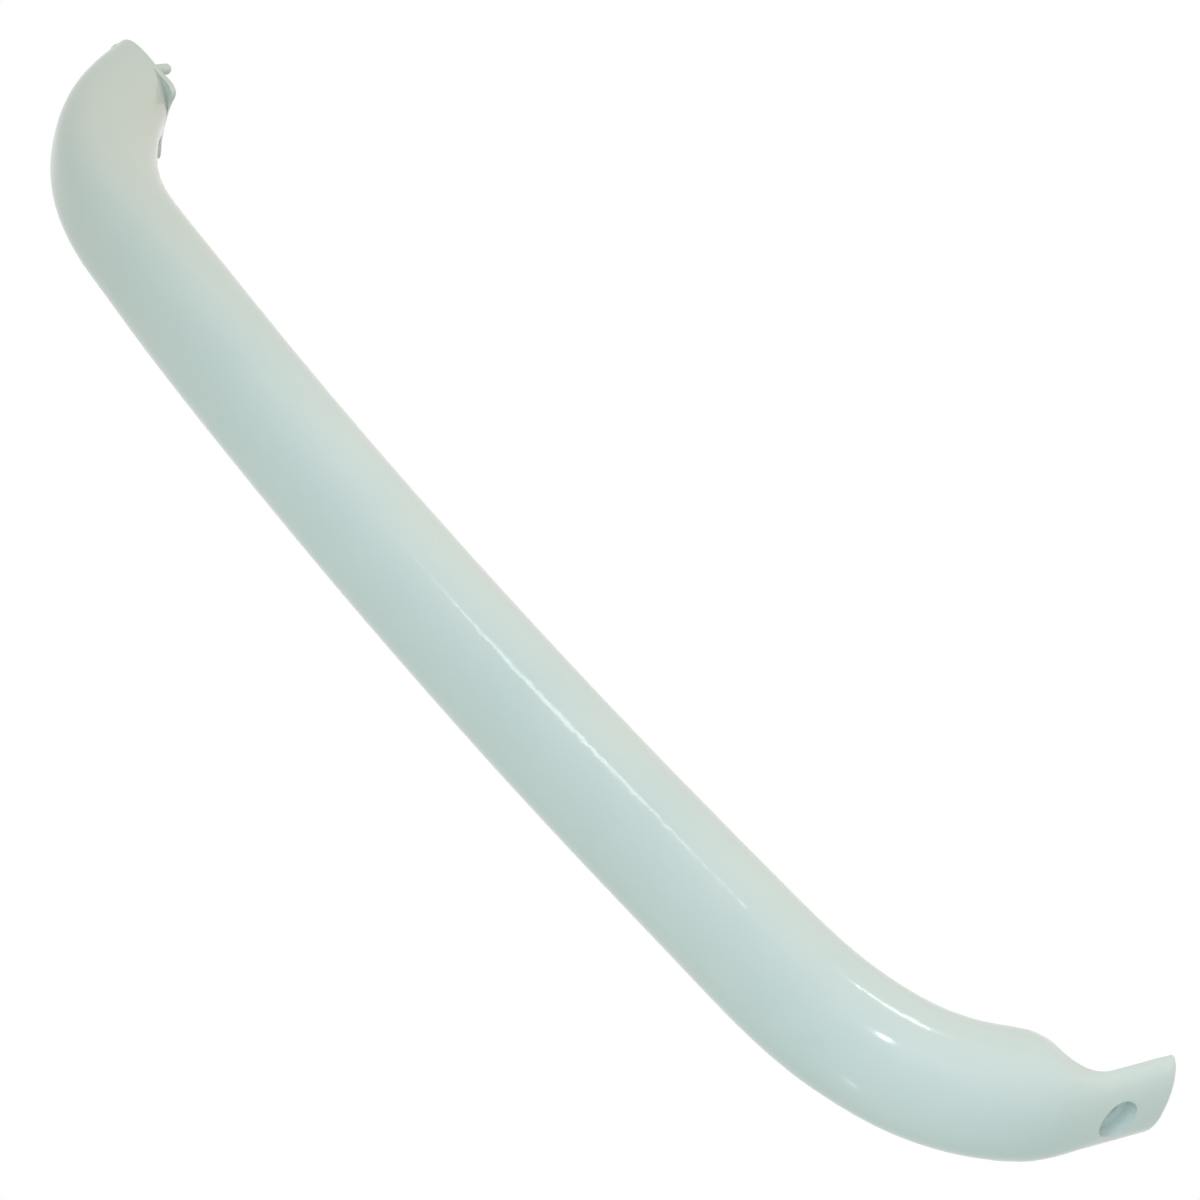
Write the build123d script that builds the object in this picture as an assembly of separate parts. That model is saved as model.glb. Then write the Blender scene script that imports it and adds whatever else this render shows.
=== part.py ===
from build123d import *
from math import sin, cos, radians
import os

# A one-piece moulded refrigerator door handle.
# Frame: the origin is the middle of the screw hole on the underside of the top tongue.
# X runs across the handle, +Y into the door, +Z up along the grip.  Millimetres.

# The door that the handle is made for
screw_setback = 10.5        # door front to the middle of the screw hole
door_edge_radius = 9.0      # rounded top front edge of the door

# Top tongue, which lies on the upper edge of the door
tongue_reach = 25.3         # how far it passes the door front
tongue_thickness = 5.1      # on its middle line
tongue_edge_wall = 0.6      # upright part of its side edges
tongue_end_round = 2.8      # rounding of the upper edge of its end
tongue_half_width = 9.5
tongue_straight = 23.8      # straight part of the crest line

# Screw hole with a round recess for the screw's head
screw_hole_diameter = 4.5
head_recess_diameter = 9.4
recess_floor = 1.9          # plastic left under the screw's head

# Crest line: the outermost line of the handle in its plane of symmetry,
# told as a chain of arcs (radius, turn in degrees) from the tongue to the foot
top_bend_tight = (35.6, 21.5)
top_bend_middle = (48.9, 42.5)
top_bend_open = (78.9, 21.3)
grip_bow = (1770.0, 9.0)
foot_bend = (84.5, 52.0)
foot_straight = 14.0

# Section across the grip: a full rounded oval
grip_half_width = 14.0
grip_depth = 23.1
grip_roundness = 2.28       # 2 is an ellipse, more is squarer

# The section where the top bend meets the door
shoulder_half_width = 13.7
shoulder_depth = 23.8
tongue_section_depth = 21.0
tongue_back_roundness = 5.0
neck_start_y = -10.6        # the sides draw in over this stretch, measured from the door front
neck_end_y = 7.1

# Foot, which tapers to its flat pad on the door front
foot_bend_depth = 25.1
foot_half_width = 10.9
foot_end_depth = 22.6
foot_roundness = 2.75

# Pad at the end of the foot
pad_thickness = 1.4
pad_half_width = 10.7
pad_bottom_z = -397.6
pad_top_z = -367.2
pad_roundness_low = 2.3
pad_roundness_high = 10.0

# Locating pegs on the pad
peg_diameter = 2.8
peg_length = 6.4
peg_spread = 7.5            # from the middle plane
peg_z = -381.2

door_front = -screw_setback


def blend(s, s0, s1, a, b):
    # a smooth change from a to b while s goes from s0 to s1
    u = min(max((s - s0) / (s1 - s0), 0.0), 1.0)
    return a + (b - a) * u * u * (3 - 2 * u)


# Lengths of the parts of the crest line and the places where they end
chain = [(tongue_straight, 0.0)]
for radius, turn in (top_bend_tight, top_bend_middle, top_bend_open, grip_bow, foot_bend):
    chain.append((radius * radians(turn), turn))
chain.append((foot_straight, 0.0))
ends = [0.0]
for length, turn in chain:
    ends.append(ends[-1] + length)


def crest(s):
    # point (y, z) and heading in degrees on the crest line at length s from the tongue's end
    y = tongue_reach + door_front
    z = tongue_thickness
    heading = 180.0
    left = s
    for length, turn in chain:
        step = min(left, length)
        bend = turn * step / length
        middle = radians(heading + bend / 2)
        half = radians(bend / 2)
        chord = step * (sin(half) / half if half else 1.0)
        y += chord * cos(middle)
        z += chord * sin(middle)
        heading += bend
        left -= step
        if left <= 1e-9:
            break
    return y, z, heading


def oval(width, reach, roundness, angle):
    # point at this angle on an oval with the given half sizes, squarer as the roundness grows
    c = cos(angle)
    k = sin(angle)
    size = (abs(c) ** roundness + abs(k) ** roundness) ** (-1 / roundness)
    return width * size * c, reach * size * k


# Angles of the points on half a ring, from the crest to the back, and how far along the half ring
# each one lies.  Every ring uses the same shares, so that the surface between them stays light.
half_ring_points = 12
ring_angles = [radians(90 - 180 * i / half_ring_points) for i in range(half_ring_points + 1)]
ring_shares = [0.0]
for i in range(half_ring_points):
    x1, d1 = oval(grip_half_width, grip_depth / 2, grip_roundness, ring_angles[i])
    x2, d2 = oval(grip_half_width, grip_depth / 2, grip_roundness, ring_angles[i + 1])
    ring_shares.append(ring_shares[-1] + ((x2 - x1) ** 2 + (d2 - d1) ** 2) ** 0.5)
ring_shares = [share / ring_shares[-1] for share in ring_shares]


def section(s, lower=1.0, beyond=0.0):
    # closed outline of the handle square to the crest line at length s.
    # The rounded end of the tongue asks for a ring made lower and set further out.
    y, z, heading = crest(s)
    inward = (-sin(radians(heading)), cos(radians(heading)))
    neck = blend(y - door_front, neck_start_y, neck_end_y, 0.0, 1.0) if s < ends[3] else 0.0
    depth = blend(s, ends[1], ends[2] + 4, tongue_section_depth, shoulder_depth)
    depth = blend(s, ends[3], ends[4] + 12, depth, grip_depth)
    depth = blend(s, ends[5] - 10, ends[5] + 42, depth, foot_bend_depth)
    depth = blend(s, ends[5] + 42, ends[6] + 10, depth, foot_end_depth)
    width = blend(s, ends[3], ends[4], shoulder_half_width, grip_half_width)
    width = blend(s, ends[5] - 34, ends[5] + 62, width, foot_half_width)
    width += (tongue_half_width - width) * neck
    crest_roundness = blend(s, ends[5] - 20, ends[5] + 40, grip_roundness, foot_roundness)
    back_roundness = crest_roundness + (tongue_back_roundness - crest_roundness) * neck
    widest = depth / 2 + (tongue_thickness - tongue_edge_wall - depth / 2) * neck
    right = []
    for i, angle in enumerate(ring_angles):
        if i <= half_ring_points / 2:
            x, up = oval(width, widest, crest_roundness, angle)
        else:
            x, up = oval(width, depth - widest, back_roundness, angle)
        if i in (0, half_ring_points):
            x = 0.0
        d = widest - up
        right.append(Vector(x, y + beyond + inward[0] * d, lower * (z + inward[1] * d)))
    left = [Vector(-p.X, p.Y, p.Z) for p in reversed(right)]
    at_crest = (right[1] - right[0]).length / ring_shares[1]
    at_back = (right[-1] - right[-2]).length / ring_shares[1]
    return Wire([
        Edge.make_spline(right, [(at_crest, 0, 0), (-at_back, 0, 0)], parameters=ring_shares, scale=False),
        Edge.make_spline(left, [(-at_back, 0, 0), (at_crest, 0, 0)], parameters=ring_shares, scale=False),
    ])


places = [tongue_end_round, 9, 15, 21, 26, 31, 37, 43, 50, 58, 67, 77, 89, 103]
places += [121, 166, 241, 316, 356, 373]
places += [385, 397, 409, 421, 433, 444, 454, 463, ends[7]]
body = Solid.make_loft([section(s) for s in places])

# Rounded end of the tongue: its outline gets lower round part of a quarter circle
end_rings = []
for angle in (0, 20, 40, 58, 75):
    drop = tongue_end_round * (1 - cos(radians(angle)))
    along = tongue_end_round * sin(radians(angle))
    end_rings.append(section(tongue_end_round, 1 - drop / tongue_thickness, along))
body = body + Solid.make_loft(end_rings)

# The door is taken away from the body: this leaves the flat pad under the foot,
# the seat on the door front and the flat underside of the tongue
with BuildSketch(Plane.YZ) as door_profile:
    with BuildLine():
        Polyline(
            (door_front, -430),
            (door_front, 0),
            (door_front + 60, 0),
            (door_front + 60, -430),
            close=True,
        )
    make_face()
    fillet(door_profile.vertices().sort_by_distance((0, door_front, 0))[0], door_edge_radius)
door = extrude(door_profile.sketch, amount=30, both=True)
body = body - door

# Pad: a low plate with a squarer upper end, a little proud of the foot
pad_middle_z = (pad_top_z + pad_bottom_z) / 2
pad_half_height = (pad_top_z - pad_bottom_z) / 2
pad_points = []
for i in range(36):
    roundness = pad_roundness_high if i < 18 else pad_roundness_low
    x, up = oval(pad_half_width, pad_half_height, roundness, radians(10 * i))
    pad_points.append(Vector(x, door_front, pad_middle_z + up))
pad_face = Face(Wire([Edge.make_spline(pad_points, periodic=True)]))
pad = extrude(pad_face, amount=pad_thickness, dir=(0, -1, 0))
handle = body + pad

# Screw hole and the recess for the screw's head
recess = Pos(0, 0, recess_floor) * Cylinder(
    head_recess_diameter / 2, 10, align=(Align.CENTER, Align.CENTER, Align.MIN)
)
screw_hole = Cylinder(screw_hole_diameter / 2, 20)
handle = handle - recess - screw_hole

# Locating pegs with round ends
for side in (-1, 1):
    peg = Pos(side * peg_spread, door_front, peg_z) * Rot(-90, 0, 0) * Cylinder(
        peg_diameter / 2, peg_length - peg_diameter / 2 + 1.0,
        align=(Align.CENTER, Align.CENTER, Align.MIN),
    )
    peg = Pos(0, -1.0, 0) * peg
    tip = Pos(side * peg_spread, door_front + peg_length - peg_diameter / 2, peg_z) * Sphere(peg_diameter / 2)
    handle = handle + peg + tip

handle = handle.solids().sort_by(SortBy.VOLUME)[-1]
os.makedirs("parts", exist_ok=True)
export_step(handle, "parts/handle.step")
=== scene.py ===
import math
import bmesh
import bpy
from mathutils import Matrix, Vector


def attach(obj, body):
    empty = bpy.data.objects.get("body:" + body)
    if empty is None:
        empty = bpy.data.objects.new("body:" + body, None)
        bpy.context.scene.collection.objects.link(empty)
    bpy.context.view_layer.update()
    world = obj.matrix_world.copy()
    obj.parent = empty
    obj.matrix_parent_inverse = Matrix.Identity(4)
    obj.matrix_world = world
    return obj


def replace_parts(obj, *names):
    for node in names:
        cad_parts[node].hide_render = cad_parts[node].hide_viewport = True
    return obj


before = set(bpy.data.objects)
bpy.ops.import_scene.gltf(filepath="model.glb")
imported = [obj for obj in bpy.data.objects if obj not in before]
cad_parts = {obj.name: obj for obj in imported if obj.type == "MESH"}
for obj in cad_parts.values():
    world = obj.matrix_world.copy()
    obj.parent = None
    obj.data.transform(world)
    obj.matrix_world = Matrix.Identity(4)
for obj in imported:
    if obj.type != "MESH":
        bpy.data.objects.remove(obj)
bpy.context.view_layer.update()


scene = bpy.context.scene
scene.view_settings.view_transform = "Standard"


# Colours are written as sRGB hex and turned into linear values here
def colour(text):
    values = []
    for i in (0, 2, 4):
        c = int(text[i:i + 2], 16) / 255
        values.append(c / 12.92 if c <= 0.04045 else ((c + 0.055) / 1.055) ** 2.4)
    return (values[0], values[1], values[2], 1.0)


# Adds a node with its settings, fills its sockets, and links those that are given as outputs.
# A socket goes by its name, with _ for a space, or by n and its number.
def add_node(tree, kind, settings=None, **sockets):
    node = tree.nodes.new(kind)
    for name, value in (settings or {}).items():
        setattr(node, name, value)
    for name, value in sockets.items():
        numbered = name[0] == "n" and name[1:].isdigit()
        socket = node.inputs[int(name[1:]) if numbered else name.replace("_", " ")]
        if isinstance(value, bpy.types.NodeSocket):
            tree.links.new(value, socket)
        else:
            socket.default_value = value
    return node


# Injection-moulded ABS, self-coloured pale aqua white and moulded in a polished tool: a clear
# gloss with sharp, slightly wavy reflections.  Towards the lower end a painted warm shade makes
# the colour duller and yellower, in place of warmer, dimmer light there.
def moulded_abs():
    main_tint = colour("CBDCD8")
    # Colour of the painted warm shade at the lower end: duller and yellower, standing in for light
    painted_warm_shade = colour("C0CCC3")
    cloud = colour("C6D9D6")
    warm_shade_up_to = -0.385         # height up to which the painted warm shade is full, and above which it starts to fade
    warm_shade_gone_from = -0.215         # and the height from which none of it is left
    cloud_size = 0.030          # drifts of tint left by the flow of the melt, about 30 mm across
    cloud_strength = 0.8
    rub_size = 0.014            # patches dulled by hands, about 14 mm across
    clear_roughness = 0.11
    rubbed_roughness = 0.16
    peel_size = 0.0022          # waviness of the polished face, about 2 mm from wave to wave
    peel_depth = 0.000004
    peel_strength = 0.05
    mat = bpy.data.materials.new("moulded gloss ABS")
    mat.use_nodes = True
    tree = mat.node_tree
    shader = tree.nodes["Principled BSDF"]
    coords = add_node(tree, "ShaderNodeTexCoord").outputs["Object"]

    place = add_node(tree, "ShaderNodeSeparateXYZ", Vector=coords)
    # Painted warm shade: the colour turns duller and yellower towards the lower end, in place of
    # warmer, dimmer light there
    warm_shade_level = add_node(
        tree, "ShaderNodeMapRange", {"interpolation_type": "SMOOTHSTEP"},
        Value=place.outputs["Z"], From_Min=warm_shade_up_to, From_Max=warm_shade_gone_from, To_Min=1.0, To_Max=0.0,
    )
    drift = add_node(
        tree, "ShaderNodeTexNoise",
        Vector=coords, Scale=1 / cloud_size, Detail=2.0, Roughness=0.45,
    )
    drift_level = add_node(
        tree, "ShaderNodeMapRange", Value=drift.outputs["Fac"],
        From_Min=0.35, From_Max=0.65, To_Min=0.0, To_Max=cloud_strength,
    )
    tint = add_node(
        tree, "ShaderNodeMix", {"data_type": "RGBA"},
        n0=drift_level.outputs["Result"], n6=main_tint, n7=cloud,
    )
    base = add_node(
        tree, "ShaderNodeMix", {"data_type": "RGBA"},
        n0=warm_shade_level.outputs["Result"], n6=tint.outputs[2], n7=painted_warm_shade,
    )
    tree.links.new(base.outputs[2], shader.inputs["Base Color"])

    rub = add_node(
        tree, "ShaderNodeTexNoise",
        Vector=coords, Scale=1 / rub_size, Detail=3.0, Roughness=0.6,
    )
    gloss = add_node(
        tree, "ShaderNodeMapRange", Value=rub.outputs["Fac"],
        From_Min=0.3, From_Max=0.7, To_Min=clear_roughness, To_Max=rubbed_roughness,
    )
    tree.links.new(gloss.outputs["Result"], shader.inputs["Roughness"])

    peel = add_node(
        tree, "ShaderNodeTexNoise",
        Vector=coords, Scale=1 / peel_size, Detail=1.0, Roughness=0.4,
    )
    waves = add_node(
        tree, "ShaderNodeBump",
        Strength=peel_strength, Distance=peel_depth, Height=peel.outputs["Fac"],
    )
    tree.links.new(waves.outputs["Normal"], shader.inputs["Normal"])
    shader.inputs["IOR"].default_value = 1.52
    return mat


# The moulding of the frame, with the straight upper end of the foot's pad eased away.  More goes
# at its back than at its front, where the back of the grip runs into it, so that only its two
# corners stand out.
def moulding_with_eased_pad(source):
    weld = 0.000002             # the frame's triangles are loose, so corners this near are joined
    sharp_edge = math.radians(35)

    # The pad's plate: its upper end, the two faces of the plate and half its straight width
    pad_top = -0.3672
    pad_front = -0.0119
    pad_back = -0.0105
    pad_corner = 0.0099

    # How far the upper end is eased in the middle, and how squarely that runs to the corners
    front_ease = 0.0012
    front_squareness = 4
    back_ease = 0.0020
    back_squareness = 2.5

    # The line where the grip's back meets the pad's front: its depth below the pad's top in the
    # middle, and how fast it falls away to the sides, times the third power of x
    grip_below_top = 0.00017
    grip_falls = 6000.0
    front_limit = 0.9           # the front is eased by this share of the way to that line at most

    # Only the rim of the upper end is moved
    rim_above = 0.0001
    rim_below = 0.0007
    rim_limit = 0.5             # and not past this share of the way to the grip's line
    front_slack = 0.01          # share of the plate's thickness

    bm = bmesh.new()
    bm.from_mesh(source.data)
    bmesh.ops.remove_doubles(bm, verts=bm.verts, dist=weld)
    for v in bm.verts:
        side = abs(v.co.x)
        across = side / pad_corner
        back = (v.co.y - pad_front) / (pad_back - pad_front)
        below = pad_top - v.co.z
        grip_line = grip_below_top + grip_falls * side ** 3
        on_rim = -rim_above < below < min(rim_below, rim_limit * grip_line)
        if across < 1.0 and back > -front_slack and on_rim:
            at_front = front_ease * (1.0 - across ** front_squareness)
            at_front = min(front_limit * grip_line, at_front)
            at_back = back_ease * (1.0 - across ** back_squareness)
            v.co.z -= at_front + (at_back - at_front) * back
    mesh = bpy.data.meshes.new("moulding")
    bm.to_mesh(mesh)
    bm.free()
    mesh.attributes.remove(mesh.attributes["custom_normal"])
    mesh.shade_smooth()
    mesh.set_sharp_from_angle(angle=sharp_edge)
    mesh.materials.append(moulded_abs())
    moulding = bpy.data.objects.new("moulding", mesh)
    scene.collection.objects.link(moulding)
    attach(moulding, "root")
    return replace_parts(moulding, "handle")


moulding_with_eased_pad(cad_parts["handle"])

# Camera, placed from the photo's perspective: azimuth, elevation and roll in degrees, lengths in
# metres, lens and sensor in millimetres
azimuth = math.radians(-43.446)
elevation = math.radians(36.717)
roll = math.radians(137.811)
side_shift = -0.100936
up_shift = 0.101125
distance = 0.983487
lens = 147.0
sensor_width = 36.0

toward = Vector((
    math.sin(azimuth) * math.cos(elevation),
    -math.cos(azimuth) * math.cos(elevation),
    math.sin(elevation),
))
level_right = Vector((math.cos(azimuth), math.sin(azimuth), 0.0))
level_up = toward.cross(level_right)
right = math.cos(roll) * level_right + math.sin(roll) * level_up
up = -math.sin(roll) * level_right + math.cos(roll) * level_up
camera_data = bpy.data.cameras.new("camera")
camera = bpy.data.objects.new("camera", camera_data)
scene.collection.objects.link(camera)
camera_data.sensor_width = sensor_width
camera_data.lens = lens
camera_data.clip_start = 0.01
camera_data.clip_end = 20.0
turn = Matrix((right, up, toward)).transposed().to_4x4()
camera_place = side_shift * right + up_shift * up + distance * toward
camera.matrix_world = Matrix.Translation(camera_place) @ turn
scene.camera = camera


# World: a white backdrop that the camera and the gloss see, and an even pale light for the object
def white_backdrop():
    world = bpy.data.worlds.new("white backdrop")
    scene.world = world
    world.use_nodes = True
    tree = world.node_tree
    tree.nodes.clear()
    seen = add_node(tree, "ShaderNodeBackground", Color=(1, 1, 1, 1), Strength=1.0)
    light = add_node(tree, "ShaderNodeBackground", Color=colour("F6FFF2"), Strength=0.47)
    ray = add_node(tree, "ShaderNodeLightPath").outputs
    direct = add_node(
        tree, "ShaderNodeMath", {"operation": "MAXIMUM"},
        n0=ray["Is Camera Ray"], n1=ray["Is Glossy Ray"],
    )
    sees = add_node(
        tree, "ShaderNodeMath", {"operation": "MAXIMUM"},
        n0=direct.outputs[0], n1=ray["Is Transmission Ray"],
    )
    mix = add_node(
        tree, "ShaderNodeMixShader",
        n0=sees.outputs[0], n1=light.outputs[0], n2=seen.outputs[0],
    )
    add_node(tree, "ShaderNodeOutputWorld", Surface=mix.outputs[0])


white_backdrop()


# A direction or place given along the picture's right, its up and toward the camera, in metres
def picture(v):
    return v[0] * right + v[1] * up + v[2] * toward


# A rectangular lamp that faces the aim point.  Its long side runs along the picture direction
# run, and its radiance doesn't change with its size.
def lamp(name, place, length, width, radiance, hex_colour, aim, run=(1, 0, 0), mirrored=True):
    data = bpy.data.lights.new(name, "AREA")
    data.shape = "RECTANGLE"
    data.size = length
    data.size_y = width
    data.energy = radiance * math.pi * length * width
    data.color = colour(hex_colour)[:3]
    ob = bpy.data.objects.new(name, data)
    scene.collection.objects.link(ob)
    away = (picture(place) - picture(aim)).normalized()
    along = picture(run)
    along = (along - along.dot(away) * away).normalized()
    across = away.cross(along)
    turned = Matrix((along, across, away)).transposed().to_4x4()
    ob.matrix_world = Matrix.Translation(picture(place)) @ turned
    ob.visible_glossy = mirrored


middle = (-0.10, 0.08, -0.04)
bend = (-0.045, 0.02, 0.014)

# Small lamps for the reflections in the gloss: the thin line along the grip, the long spot and
# the short one at the bend, and the faint one below them
lamp(
    "window strip", (-0.66, 1.39, 0.40), 0.28, 0.13, 6.5, "FFFFFF", middle,
    run=(0.46, 0.11, 0.12),
)
lamp(
    "window strip by the bend", (0.40, 1.43, 0.20), 0.20, 0.12, 11.0, "FFFFFF", bend,
    run=(0.15, -0.1, 0.37),
)
lamp(
    "small lamp", (-0.44, 0.577, 1.352), 0.20, 0.07, 40.0, "FFFFFF", bend,
    run=(0.5, 0.85, 0.0),
)
lamp("low window", (-1.079, -1.075, 0.184), 0.12, 0.10, 3.0, "FFFFFF", bend)

# Large soft lamps for the shading, which leave no reflection
lamp("soft front", (-0.3, 0.5, 2.2), 1.6, 1.6, 2.95, "EAE8FF", middle, mirrored=False)
lamp("soft low", (-1.1, -1.1, 0.4), 1.6, 1.6, 0.45, "F4FFFA", middle, mirrored=False)
lamp("soft top", (0.97, -1.07, 1.08), 0.8, 0.8, 1.0, "E6F4FF", middle, mirrored=False)
lamp(
    "soft side", (1.15, 1.0, 0.2), 1.6, 1.6, 1.35, "FFD8C4", middle,
    run=(0, 1, 0), mirrored=False,
)
